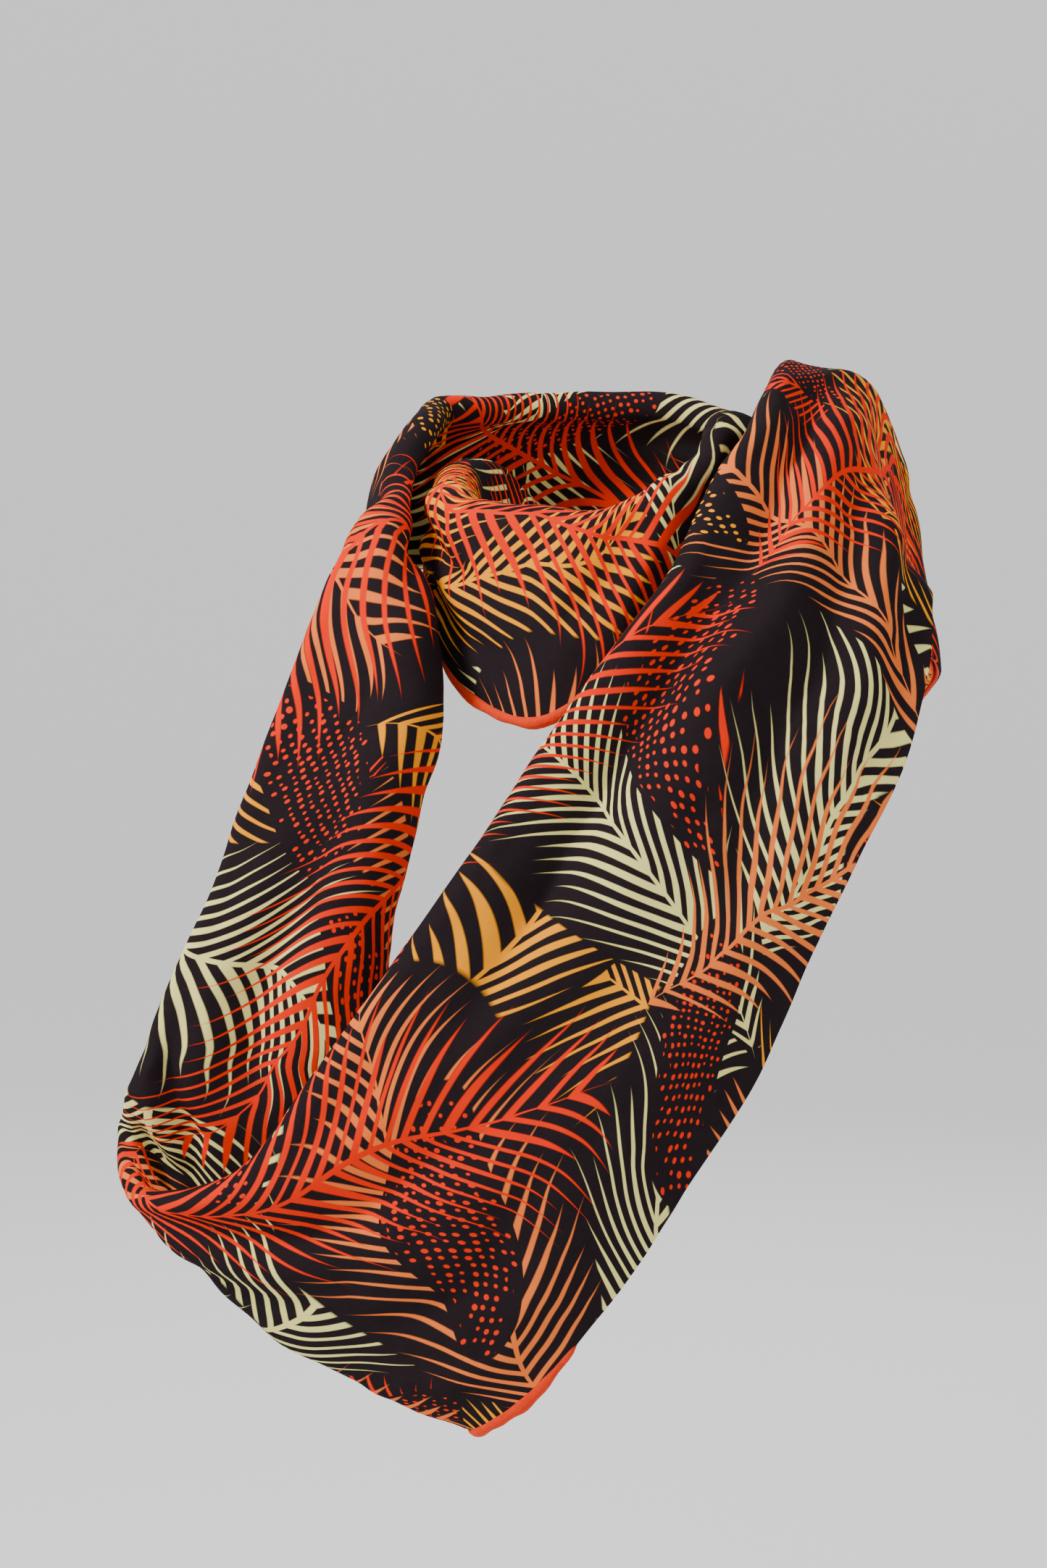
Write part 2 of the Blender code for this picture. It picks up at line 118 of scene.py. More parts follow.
# Columns as in Section
SECTION_ROWS = (
    ("side_1", (-79, 74, -45), (-104, 45, -48), (-100, 8, -45), 60, 6, 2),
    ("side_2", (-84, 69, -20), (-107, 36, -20), (-106, 4, -18), 60, 6, 2),
    ("side_3", (-92, 58, 5), (-106, 28, 8), (-110, 0, 8), 40, 6, 2),
    ("strand_1", (-101, 41, 34), (-97, 28, 38), (-109, 0, 26), 14, 6, 2),
    ("strand_2", (-113, 21, 60), (-92, 20, 66), (-110, -8, 40), 12, 7, 3),
    ("strand_3", (-126, -6, 82), (-86, -5, 92), (-108, -26, 60), 12, 8, 3),
    ("strand_4", (-137, -34, 92), (-84, -34, 104), (-108, -52, 74), 12, 8, 3),
    ("strand_5", (-148, -62, 97), (-91, -60, 112), (-112, -80, 80), 13, 8, 3),
    ("strand_6", (-163, -104, 98), (-104, -103, 116), (-115, -124, 86), 16, 8, 3),
    ("strand_7", (-181, -142, 94), (-112, -142, 114), (-102, -170, 92), 24, 8, 3),
    ("strand_8", (-195, -178, 87), (-118, -190, 108), (-84, -222, 104), 60, 7, 3),
    ("strand_9", (-198, -190, 83), (-129, -231, 102), (-76, -258, 112), 90, 5.5, 3),
    ("turn_1", (-198, -202, 90), (-134, -252, 104), (-71, -279, 121), 90, 4.5, 2),
    ("turn_2", (-192, -209, 101), (-138, -259, 114), (-69, -288, 130), 90, 4.5, 2),
    ("turn_3", (-183, -209, 112), (-127, -251, 126), (-61, -284, 138), 90, 5, 2),
    ("panel_1", (-169, -205, 122), (-107, -236, 138), (-48, -274, 141), 120, 6.5, 3),
    ("panel_2", (-149, -194, 131), (-90, -218, 146), (-32, -255, 143), 120, 8, 3),
    ("panel_3", (-124, -160, 139), (-62, -190, 153), (-12, -228, 145), 120, 8, 3),
    ("panel_4", (-90, -112, 141), (-34, -146, 155), (8, -195, 147), 120, 8, 3),
    ("panel_5", (-67, -80, 138), (-12, -108, 154), (29, -162, 149), 120, 8, 3),
    ("panel_6", (-41, -42, 131), (12, -66, 150), (48, -118, 149), 110, 8, 3),
    ("panel_7", (-22, -16, 124), (26, -36, 142), (65, -83, 145), 100, 8, 3),
    ("panel_8", (1, 15, 114), (44, -6, 128), (82, -51, 134), 80, 8, 3),
    ("panel_9", (11, 35, 103), (56, 20, 110), (92, -18, 114), 50, 8, 3),
    ("panel_10", (19, 50, 92), (68, 40, 88), (95, 4, 90), 30, 8, 3),
    ("over_1", (29, 62, 79), (71, 55, 62), (92, 5, 64), 22, 7.5, 3),
    ("over_2", (37, 76, 57), (73, 68, 33), (93, 0, 34), 20, 7.5, 3),
    ("over_3", (45, 83, 26), (80, 78, 2), (98, -14, 4), 20, 7, 3),
    ("outer_1", (68, 76, -22), (98, 36, -32), (112, -34, -40), 40, 7, 3),
    ("outer_2", (72, 55, -56), (89, 4, -76), (86, -68, -88), 70, 7, 3),
    ("outer_3", (42, 22, -79), (48, -26, -104), (40, -80, -114), 90, 7, 3),
    ("outer_4", (8, 4, -80), (8, -30, -100), (0, -68, -108), 90, 7, 3),
    ("outer_5", (-20, 8, -63), (-31, -14, -84), (-43, -46, -88), 60, 6, 3),
    ("outer_6", (-40, 16, -44), (-55, 28, -60), (-68, -22, -66), 20, 5, 2),
    ("wrap_1", (-53, 26, -33), (-63, 48, -36), (-78, 0, -38), 6.5, 5, 2),
    ("wrap_2", (-61, 20, -13), (-73, 50, -16), (-86, 0, -12), 6, 5, 2),
    ("wrap_3", (-62, 14, 12), (-77, 46, 10), (-86, 0, 16), 6, 5, 2),
    ("wrap_4", (-57, 6, 34), (-77, 43, 34), (-84, -5, 50), 6.5, 5, 2),
    ("wrap_5", (-48, 0, 52), (-69, 37, 60), (-69, -29, 86), 7.5, 5, 2),
    ("wrap_6", (-32, -4, 66), (-44, 35, 82), (-45, -38, 105), 8, 5, 2),
    ("wrap_7", (-14, 0, 72), (-22, 34, 88), (-26, -27, 107), 8, 5, 2),
    ("wrap_8", (6, 10, 67), (-1, 44, 84), (-1, -2, 96), 7.5, 5, 2),
    ("wrap_9", (24, 26, 54), (15, 54, 70), (27, 23, 77), 7, 4.5, 2),
    ("pinch_1", (35, 40, 41), (23, 68, 55), (40, 36, 59), 7, 4.5, 2),
    ("pinch_2", (42, 50, 37), (43, 60, 50), (53, 28, 47), 7, 4.5, 2),
    ("pinch_3", (55, 56, 22), (65, 50, 27), (64, 20, 27), 11, 5, 2),
    ("inner_1", (62, 58, 0), (74, 40, 0), (68, 12, 0), 30, 5, 2),
    ("inner_2", (55, 55, -31), (65, 38, -37), (59, 12, -34), 40, 5, 2),
    ("inner_3", (37, 66, -53), (45, 44, -64), (40, 16, -57), 40, 6, 2),
    ("inner_4", (12, 75, -67), (15, 50, -85), (14, 20, -77), 50, 6, 2),
    ("inner_5", (-19, 76, -72), (-25, 52, -94), (-23, 18, -87), 50, 6, 2),
    ("inner_6", (-54, 75, -64), (-69, 48, -82), (-64, 12, -77), 60, 6, 2),
)
SECTIONS = tuple(Section(*row) for row in SECTION_ROWS)
NAMES = [section.name for section in SECTIONS]


def to_world(points: Array) -> Array:
    """Turns sizes measured across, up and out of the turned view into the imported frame.

    Args:
        points: places in mm, any number of leading axes.

    Returns:
        The same places in metres.
    """
    turn = math.radians(VIEW_TURN_DEG)
    across, up, out = points[..., 0], points[..., 1], points[..., 2]
    left = across * math.cos(turn) + out * math.sin(turn)
    back = across * math.sin(turn) - out * math.cos(turn)
    return np.stack([left, back - NAPE_BACK, up - NAPE_UP], axis=-1) * MM


def unit(vectors: Array) -> Array:
    """The vectors at length one."""
    return vectors / np.maximum(np.linalg.norm(vectors, axis=-1, keepdims=True), NEARLY_NOUGHT)


def lengths_along(points: Array) -> Array:
    """The length up to each point of lines whose points follow each other on the last axis but one."""
    steps = np.linalg.norm(np.diff(points, axis=-2), axis=-1)
    return np.concatenate([np.zeros_like(steps[..., :1]), np.cumsum(steps, axis=-1)], axis=-1)


def new_piece(name: str, points: Array, faces: list[Face]) -> Piece:
    """Makes a smooth piece and links it.

    Args:
        name: the piece's name.
        points: its corners in metres.
        faces: the numbers of each face's corners.

    Returns:
        The new object, at the origin.
    """
    mesh = bpy.data.meshes.new(name)
    mesh.from_pydata(points.tolist(), [], faces)
    mesh.shade_smooth()
    piece = bpy.data.objects.new(name, mesh)
    bpy.context.scene.collection.objects.link(piece)
    return piece


def ring_faces(rings: int, width: int, turned: bool = False) -> list[Face]:
    """The four-sided faces between closed rings of points.

    Args:
        rings: how many rings there are.
        width: how many points each ring has.
        turned: whether the faces look the other way.

    Returns:
        The faces, ring by ring.
    """
    base = (np.arange(rings - 1) * width)[:, None]
    column = np.arange(width)[None, :]
    after = (column + 1) % width
    corners = [base + column, base + width + column, base + width + after, base + after]
    if turned:
        corners = [corners[0], *corners[:0:-1]]
    return [tuple(face) for face in np.stack(corners, axis=-1).reshape(-1, 4).tolist()]


@dataclass(frozen=True)
class Crease:
    """A soft trough or ridge through a few spots: height and half width in mm.

    A height above zero is towards the layer that faces out on the chest panel. A spot is a section's name,
    the share of the width from the edge and, where it isn't nought, how far on to the next section. Each
    end dies away over the share of the crease that fade gives.
    """

    height: float
    width: float
    spots: tuple[tuple[str | float, ...], ...]
    fade: float = 0.35


@dataclass
class BandForm:
    """The form of the whole ring, worked out from its sections."""

    wall: float = 2.0
    slit: float = 1.2
    plump_rise: float = 1.6
    roll_start: float = 0.72
    tightest: float = 0.92
    spacing_power: float = 0.5
    look: float = 0.02
    reach: float = 0.5
    arc_points: int = 16
    leg_columns: int = 46
    roll_columns: int = 10
    table: Array = field(default_factory=lambda: np.array([s.row() for s in SECTIONS], float))

    def row_at(self, place: float) -> Array:
        """The section's sizes at any place round the ring, eased through every row of the table."""
        index = math.floor(place)
        share = place - index
        rows = [self.table[(index + step) % len(self.table)] for step in (-1, 0, 1, 2)]
        before, start, end, after = rows
        runs = (np.linalg.norm((two - one)[:9]) / math.sqrt(3) for one, two in zip(rows, rows[1:]))
        first, middle, last = (max(run, 1.0) ** self.spacing_power for run in runs)
        rate = (end - start) / middle
        leave = ((start - before) / first - (end - before) / (first + middle) + rate) * middle
        meet = (rate - (after - start) / (middle + last) + (after - end) / last) * middle
        cube, square = share**3, share**2
        row = (2 * cube - 3 * square + 1) * start + (3 * square - 2 * cube) * end
        return row + (cube - 2 * square + share) * leave + (cube - square) * meet

    def middle_line(self, row: Array) -> tuple[Array, Array]:
        """The bent line between the two layers of one section.

        Args:
            row: the section's sizes.

        Returns:
            The line's points from the open edge to the fold, and the length up to each.
        """
        fold, crest, edge = row[0:3], row[3:6], row[6:9]
        up = unit(unit(crest - fold) + unit(crest - edge))
        side = unit((fold - edge) - up * ((fold - edge) @ up))
        ends = [np.array([(end - crest) @ side, (end - crest) @ up]) for end in (fold, edge)]
        widest = [self.tightest * (end @ end) / (2 * max(-end[1], self.reach)) for end in ends]
        bend = min(row[9], *widest)
        angles = []
        for end, turn in zip(ends, (1, -1)):
            offset = end + np.array([0.0, bend])
            spread = math.acos(min(bend / np.linalg.norm(offset), 1.0))
            angles.append(math.atan2(offset[1], offset[0]) + turn * spread)
        sweep = np.linspace(angles[1] % math.tau, angles[0], self.arc_points + 1)
        arc = np.stack([np.cos(sweep), np.sin(sweep) - 1.0], axis=1) * bend
        flat = np.concatenate([[ends[1]], arc, [ends[0]]])
        points = crest + flat[:, :1] * side + flat[:, 1:] * up
        return points, lengths_along(points)

    @staticmethod
    def along_line(line: tuple[Array, Array], lengths: Array) -> Array:
        """The points of a line at the given lengths from the open edge."""
        points, marks = line
        return np.stack([np.interp(lengths, marks, points[:, axis]) for axis in range(3)], axis=-1)

    def half_room(self, share: Array, row: Array) -> Array:
        """Half the distance between the middles of the two layers at each share of the width."""
        at_edge = (self.slit + self.wall) / 2
        inside = (row[11] + self.wall) / 2
        at_roll = row[10] - self.wall / 2
        rise = np.sin(np.minimum(share * self.plump_rise, 1.0) * math.pi / 2)
        part = np.maximum(0.0, (share - self.roll_start) / (1.0 - self.roll_start)) ** 2
        return at_edge + (inside - at_edge) * rise + (at_roll - inside) * part

    def section_at(self, place: float) -> tuple[Array, Array, Array, Array]:
        """One section of the band, finely sampled.

        Args:
            place: the place round the ring.

        Returns:
            The middle line's points, the headings, the normals and the layers' half room.
        """
        row = self.row_at(place)
        steps = (0.0, -self.look, self.look)
        line, behind, ahead = (self.middle_line(self.row_at(place + step)) for step in steps)
        total = line[1][-1]
        end = total - row[10]
        lengths = np.linspace(0.0, end, self.leg_columns + 1)
        share = lengths / total
        start, finish = (self.along_line(near, share * near[1][-1]) for near in (behind, ahead))
        before = self.along_line(line, np.maximum(lengths - self.reach, 0.0))
        after = self.along_line(line, np.minimum(lengths + self.reach, total))
        heading = unit(after - before)
        normal = unit(np.cross(finish - start, heading))
        return self.along_line(line, lengths), heading, normal, self.half_room(lengths / end, row)

    def point_at(self, spot_place: float, across: float) -> Array:
        """A point between the layers, at a place round the ring and a share of the width from the edge."""
        points, _, _, _ = self.section_at(spot_place)
        place = min(max(across, 0.0), 1.0) * self.leg_columns
        index = min(int(place), self.leg_columns - 1)
        return points[index] + (points[index + 1] - points[index]) * (place - index)


@dataclass
class CreaseSet:
    """All the listed creases, with the soft unevenness of the cloth between them."""

    creases: tuple[Crease, ...]
    reach_sections: float = 1.6
    samples: int = 80
    uneven: float = 0.7
    waves: tuple[Place, ...] = (
        (1 / 61, 1 / 47, 0.3),
        (1 / 38, -1 / 71, 1.9),
        (1 / 97, 1 / 29, 4.1),
        (-1 / 27, 1 / 33, 2.6),
    )
    wander: float = 1.3
    wander_run: float = 130.0
    wander_width: float = 83.0

    def heights(self, form: BandForm, places: Array, middles: Array) -> Array:
        """How far each point of the band moves towards the layer that faces out on the chest panel, in mm.

        Args:
            form: the band's form.
            places: the places of the rings.
            middles: the rings' middle points, one row a ring.

        Returns:
            One height for each middle point.
        """
        heights = np.zeros(middles.shape[:2])
        count = len(SECTIONS)
        for crease in self.creases:
            marks = [NAMES.index(name) + sum(on) for name, _, *on in crease.spots]
            steps = np.linspace(0.0, 1.0, self.samples)
            knots = np.linspace(0.0, 1.0, len(marks))
            along = np.interp(steps, knots, marks)
            across = np.interp(steps, knots, [spot[1] for spot in crease.spots])
            path = np.array([form.point_at(p, a) for p, a in zip(along, across)])
            strength = np.minimum(1.0, np.minimum(steps, 1.0 - steps) / crease.fade)
            strength = np.sin(strength * math.pi / 2)
            low, high = min(marks) - self.reach_sections, max(marks) + self.reach_sections
            for turn in (-count, 0, count):
                near = (places + turn > low) & (places + turn < high)
                if not near.any():
                    continue
                away = np.linalg.norm(middles[near][:, :, None, :] - path, axis=-1)
                pull = np.exp(-((away / crease.width) ** 2)) * strength
                heights[near] += crease.height * pull.max(axis=-1)
        return heights

    def ripple(self, run: Array, width: Array) -> Array:
        """Soft unevenness in mm from the distance along the ring and across it, both in mm.

        Each wave is its turns per mm along the ring and across it, and its start in radians.
        """
        total = np.zeros(np.broadcast(run, width).shape)
        drift = math.tau * (run / self.wander_run + width / self.wander_width)
        for step, (per_run, per_width, start) in enumerate(self.waves):
            bend = self.wander * np.sin(drift + start)
            wave = np.sin(math.tau * (run * per_run + width * per_width) + start + bend)
            total = total + wave / (1 + 0.5 * step)
        return total * self.uneven / 2


@dataclass
class Band:
    """The ring's cloth as one grid of points, from which each stretch is cut."""

    form: BandForm
    creases: CreaseSet
    pitch: float = 3.0
    places: Array = field(init=False)
    middle: Array = field(init=False)
    normal: Array = field(init=False)
    run: Array = field(init=False)
    across: Array = field(init=False)

    def __post_init__(self) -> None:
        """Works out the grid once."""
        self.places = self.fine_places()
        sections = [self.form.section_at(place) for place in self.places]
        points, headings, normals, rooms = (np.array(part) for part in zip(*sections))
        centre = points.mean(axis=1)
        steps = np.linalg.norm(np.roll(centre, -1, axis=0) - centre, axis=1)
        self.run = np.concatenate([[0.0], np.cumsum(steps)])
        lift = self.creases.heights(self.form, self.places, points)
        lift += self.creases.ripple(self.run[:-1, None], lengths_along(points))
        points = points + normals * lift[..., None]
        angles = np.pi * np.arange(1, self.form.roll_columns) / self.form.roll_columns
        turns = normals[:, -1:, :] * np.cos(angles)[:, None] + headings[:, -1:, :] * np.sin(angles)[:, None]
        rolls = points[:, -1:, :] + turns * rooms[:, -1:, None]
        over = points + normals * rooms[..., None]
        under = (points - normals * rooms[..., None])[:, ::-1]
        self.middle = np.concatenate([over, rolls, under], axis=1)
        travel = np.roll(self.middle, -1, axis=0) - np.roll(self.middle, 1, axis=0)
        heading = np.gradient(self.middle, axis=1)
        self.normal = unit(np.cross(travel, heading))
        totals = lengths_along(self.middle)
        centre_column = self.form.leg_columns + self.form.roll_columns // 2
        self.across = totals - totals[:, centre_column : centre_column + 1]

    def fine_places(self) -> Array:
        """Places of the rings, about a pitch apart along the longest rail."""
        found = []
        table = self.form.table
        for index in range(len(table)):
            step = table[(index + 1) % len(table)] - table[index]
            runs = [np.linalg.norm(step[low : low + 3]) for low in (0, 3, 6)]
            count = max(2, math.ceil(max(runs) / self.pitch))
            found += [index + part / count for part in range(count)]
        return np.array(found)

    def rings(self, first: str, last: str) -> Array:
        """The numbers of the rings from one section to another, both included."""
        start, stop = NAMES.index(first), NAMES.index(last)
        where = np.searchsorted(self.places, [start, stop])
        if where[1] <= where[0]:
            return np.concatenate([np.arange(where[0], len(self.places)), np.arange(0, where[1] + 1)])
        return np.arange(where[0], where[1] + 1)


@dataclass
class Stretch:
    """One stretch of the doubled band that shows, named as its solid is."""

    name: str
    first: str
    last: str
    held: Held
    rim_steps: int = 3

    def around(self, values: Array) -> Array:
        """Values of the wall's middle, for each point round the wall: a side, a rim, a side, a rim."""
        last, first = (np.repeat(part, self.rim_steps, axis=1) for part in (values[:, -1:], values[:, :1]))
        return np.concatenate([values, last, values[:, ::-1], first], axis=1)

    def build(self, band: Band) -> Piece:
        """Makes the stretch as a thin wall: the print outside, the lining inside, a round rim at the edge.

        Args:
            band: the whole ring.

        Returns:
            The new object.
        """
        rows = band.rings(self.first, self.last)
        middle, normal = band.middle[rows], band.normal[rows]
        inward = unit(middle[:, 1] - middle[:, 0])
        outward = unit(middle[:, -2] - middle[:, -1])
        angles = np.pi * np.arange(1, self.rim_steps + 1) / (self.rim_steps + 1)
        cosine, sine = np.cos(angles)[:, None], np.sin(angles)[:, None]
        last_rim = normal[:, -1:] * cosine - outward[:, None] * sine
        first_rim = -normal[:, :1] * cosine - inward[:, None] * sine
        facing = np.concatenate([normal, last_rim, -normal[:, ::-1], first_rim], axis=1)
        run = band.run[rows].copy()
        wrap = np.nonzero(np.diff(rows) < 0)[0]
        if len(wrap):
            run[wrap[0] + 1 :] += band.run[-1]
        offset = facing * (band.form.wall / 2)
        return self.mesh_of(self.around(middle), offset, self.around(band.across[rows]), run)

    def end_faces(self, rings: int, width: int) -> list[Face]:
        """The faces that close the wall at both ends of the stretch.

        Args:
            rings: how many rings the stretch has.
            width: how many points are in a ring.

        Returns:
            Four-sided faces across the wall, then one over each end of each rim.
        """
        columns = width // 2 - self.rim_steps
        top = (rings - 1) * width
        faces = []
        for step in range(columns - 1):
            opposite = columns + self.rim_steps + columns - 1 - step
            faces.append((step, step + 1, opposite - 1, opposite))
            faces.append((top + opposite, top + opposite - 1, top + step + 1, top + step))
        last_rim = [*range(columns - 1, columns + self.rim_steps + 1)]
        first_rim = [*range(width - self.rim_steps - 1, width), 0]
        for rim in (last_rim, first_rim):
            faces.append(tuple(rim))
            faces.append(tuple(top + corner for corner in reversed(rim)))
        return faces

    def mesh_of(self, line: Array, offset: Array, spread: Array, run: Array) -> Piece:
        """Turns the rings into a closed mesh with its own map in metres.

        Its shading is set from the band, so that no line shows where two stretches meet.

        Args:
            line: the middle of the wall, once for each point of a ring.
            offset: from the middle of the wall to the point of its surface.
            spread: mm across from the fold.
            run: mm along the ring.

        Returns:
            The new object.
        """
        count, width = line.shape[:2]
        columns = width // 2 - self.rim_steps
        points = to_world((line + offset).reshape(-1, 3))
        outward = unit(points - to_world(line.reshape(-1, 3)))
        sides = ring_faces(count, width)
        piece = new_piece(self.name + "_cloth", points, sides + self.end_faces(count, width))
        mesh = piece.data
        corners = np.empty(len(mesh.loops), dtype=int)
        mesh.loops.foreach_get("vertex_index", corners)
        place = np.stack([np.repeat(run, width)[corners], spread.reshape(-1)[corners]], axis=1) * MM
        mesh.uv_layers.new(name="cloth").data.foreach_set("uv", place.reshape(-1))
        column = np.arange(len(sides)) % width
        seam = self.rim_steps // 2 + 1
        slots = np.ones(len(mesh.polygons), dtype=np.int32)
        slots[: len(sides)] = (column >= columns - 1 + seam) & (column < width - seam)
        mesh.polygons.foreach_set("material_index", slots)
        mesh.polygons.foreach_set("use_smooth", np.arange(len(mesh.polygons)) < len(sides))
        normals = outward[corners]
        normals[4 * len(sides) :] = 0.0
        mesh.normals_split_custom_set(normals.tolist())
        return piece

    def flat_size(self, band: Band) -> tuple[float, float]:
        """Width and length that this stretch was cut to, in metres, unfolded."""
        rows = band.rings(self.first, self.last)
        width = np.mean(band.across[rows][:, -1] - band.across[rows][:, 0])
        steps = np.linalg.norm(np.diff(band.middle[rows], axis=0), axis=2)
        return float(width) * MM, float(np.mean(np.sum(steps, axis=0))) * MM


def put(tree: bpy.types.NodeTree, socket: Socket, value: object) -> None:
    """Links a wire or socket into a node's input, or sets a plain value on it.

    Args:
        tree: the nodes.
        socket: the input.
        value: a wire, a socket or a plain value.
    """
    if isinstance(value, Wire):
        value = value.socket
    if isinstance(value, Socket):
        tree.links.new(value, socket)
    else:
        socket.default_value = value


class Wire:
    """A shader socket that can be used in sums, so that an expression adds its own Math nodes."""

    def __init__(self, tree: bpy.types.NodeTree, socket: Socket) -> None:
        """Keeps the tree and the socket."""
        self.tree = tree
        self.socket = socket

    def math(self, operation: str, *values: "Wire | float") -> "Wire":
        """Adds a Math node.

        Args:
            operation: the node's operation.
            values: links or numbers, in the order of the node's inputs.

        Returns:
            The node's output.
        """
        node = self.tree.nodes.new("ShaderNodeMath")
        node.operation = operation
        for socket, value in zip(node.inputs, values):
            put(self.tree, socket, value)
        return Wire(self.tree, node.outputs[0])

    def __add__(self, other: "Wire | float") -> "Wire":
        """Sum."""
        return self.math("ADD", self, other)

    def __sub__(self, other: "Wire | float") -> "Wire":
        """Difference."""
        return self.math("SUBTRACT", self, other)

    def __rsub__(self, other: float) -> "Wire":
        """Difference with a number first."""
        return self.math("SUBTRACT", other, self)

    def __mul__(self, other: "Wire | float") -> "Wire":
        """Product."""
        return self.math("MULTIPLY", self, other)

    def __truediv__(self, other: "Wire | float") -> "Wire":
        """Quotient."""
        return self.math("DIVIDE", self, other)

    __radd__ = __add__
    __rmul__ = __mul__

    def __abs__(self) -> "Wire":
        """Size without its sign."""
        return self.math("ABSOLUTE", self)

    def floor(self) -> "Wire":
        """Whole part below."""
        return self.math("FLOOR", self)

    def rest(self) -> "Wire":
        """What is left over the whole part."""
        return self.math("FRACT", self)

    def sine(self) -> "Wire":
        """Sine of an angle in radians."""
        return self.math("SINE", self)

    def root(self) -> "Wire":
        """Square root."""
        return self.math("SQRT", self)

    def over(self, other: "Wire | float") -> "Wire":
        """The larger of the two."""
        return self.math("MAXIMUM", self, other)

    def above(self, other: "Wire | float") -> "Wire":
        """One where this is the larger, and nought elsewhere."""
        return self.math("GREATER_THAN", self, other)

    def clamped(self) -> "Wire":
        """Held between nought and one."""
        held = self.math("ADD", self, 0.0)
        held.socket.node.use_clamp = True
        return held


@dataclass
class Shader:
    """The node tree of one material."""

    name: str
    noise_roughness: float = 0.55
    material: bpy.types.Material = field(init=False)
    tree: bpy.types.NodeTree = field(init=False)
    surface: bpy.types.Node = field(init=False)

    def __post_init__(self) -> None:
        """Starts the material."""
        self.material = bpy.data.materials.new(self.name)
        self.material.use_nodes = True
        self.tree = self.material.node_tree
        self.surface = self.tree.nodes["Principled BSDF"]

    def fill(self, node: bpy.types.Node, values: dict[str, object]) -> None:
        """Links or sets a node's inputs by name, with underscores for spaces."""
        for key, value in values.items():
            name = key.replace("_", " ").lower()
            put(self.tree, next(s for s in node.inputs if s.enabled and s.name.lower() == name), value)

    def node(self, kind: str, settings: dict[str, str] | None = None, **values: object) -> bpy.types.Node:
        """Adds any node.

        Args:
            kind: the node's type without its prefix.
            settings: what is set on the node itself.
            values: links or plain values for its inputs, underscores for spaces.

        Returns:
            The new node.
        """
        node = self.tree.nodes.new("ShaderNode" + kind)
        for key, value in (settings or {}).items():
            setattr(node, key, value)
        self.fill(node, values)
        return node

    def finish(self, **values: object) -> bpy.types.Material:
        """Gives the surface its inputs, underscores for spaces, and hands over the material."""
        self.fill(self.surface, values)
        return self.material

    def wire(self, kind: str, settings: dict[str, str] | None = None, **values: object) -> Wire:
        """Adds any node and hands over its first output, ready for sums."""
        return Wire(self.tree, self.node(kind, settings, **values).outputs[0])

    def mix(self, factor: Wire, first: "Socket | Color", second: "Socket | Color") -> Socket:
        """Mixes two colours, given as sockets or as numbers."""
        node = self.node("Mix", {"data_type": "RGBA"}, Factor=factor, A=first, B=second)
        return next(s for s in node.outputs if s.enabled)

    def cloth_map(self) -> tuple[Wire, Wire]:
        """The cloth's own map, in metres along the ring and across from the fold."""
        parts = self.node("SeparateXYZ", Vector=self.wire("UVMap", {"uv_map": "cloth"}))
        return Wire(self.tree, parts.outputs[0]), Wire(self.tree, parts.outputs[1])

    def noise(self, x: Wire, y: Wire, scale: float, detail: float) -> Wire:
        """Noise on the cloth's map, with a scale per metre."""
        at = self.wire("CombineXYZ", X=x, Y=y)
        return self.wire("TexNoise", Vector=at, Scale=scale, Detail=detail, Roughness=self.noise_roughness)

    def chance(self, *parts: "Wire | float") -> Wire:
        """An even number from nought to one for each set of up to three numbers."""
        at = self.wire("CombineXYZ", **dict(zip("XYZ", parts)))
        return self.wire("TexWhiteNoise", {"noise_dimensions": "3D"}, Vector=at)


@dataclass(frozen=True)
class FrondShape:
    """How a palm frond fills its tile: metres, shares of the tile, and how steep its edges are."""

    half: float = 0.49
    reach: float = 0.47
    taper: float = 0.25
    start: float = 0.05
    lean: float = 1.1
    curl: float = 5.0
    ragged: float = 0.35
    shortest: float = 0.010
    least: float = 0.0002
    thin: float = 0.72
    thicker: float = 0.56
    rib: float = 0.0011
    rib_start: float = 0.06
    leaf_edge: float = 14.0
    rib_edge: float = 4000.0
    outline_edge: float = 900.0


@dataclass(frozen=True)
class SeedShape:
    """How a drift of seeds fills its tile: shares of the tile and the pitch, and how steep its edges are."""

    reach: float = 0.44
    spread: float = 0.22
    bend: float = 4.0
    stray: float = 0.3
    small: float = 0.6
    larger: float = 0.4
    sparse: float = 0.6
    seed_edge: float = 5000.0
    drift_edge: float = 40.0


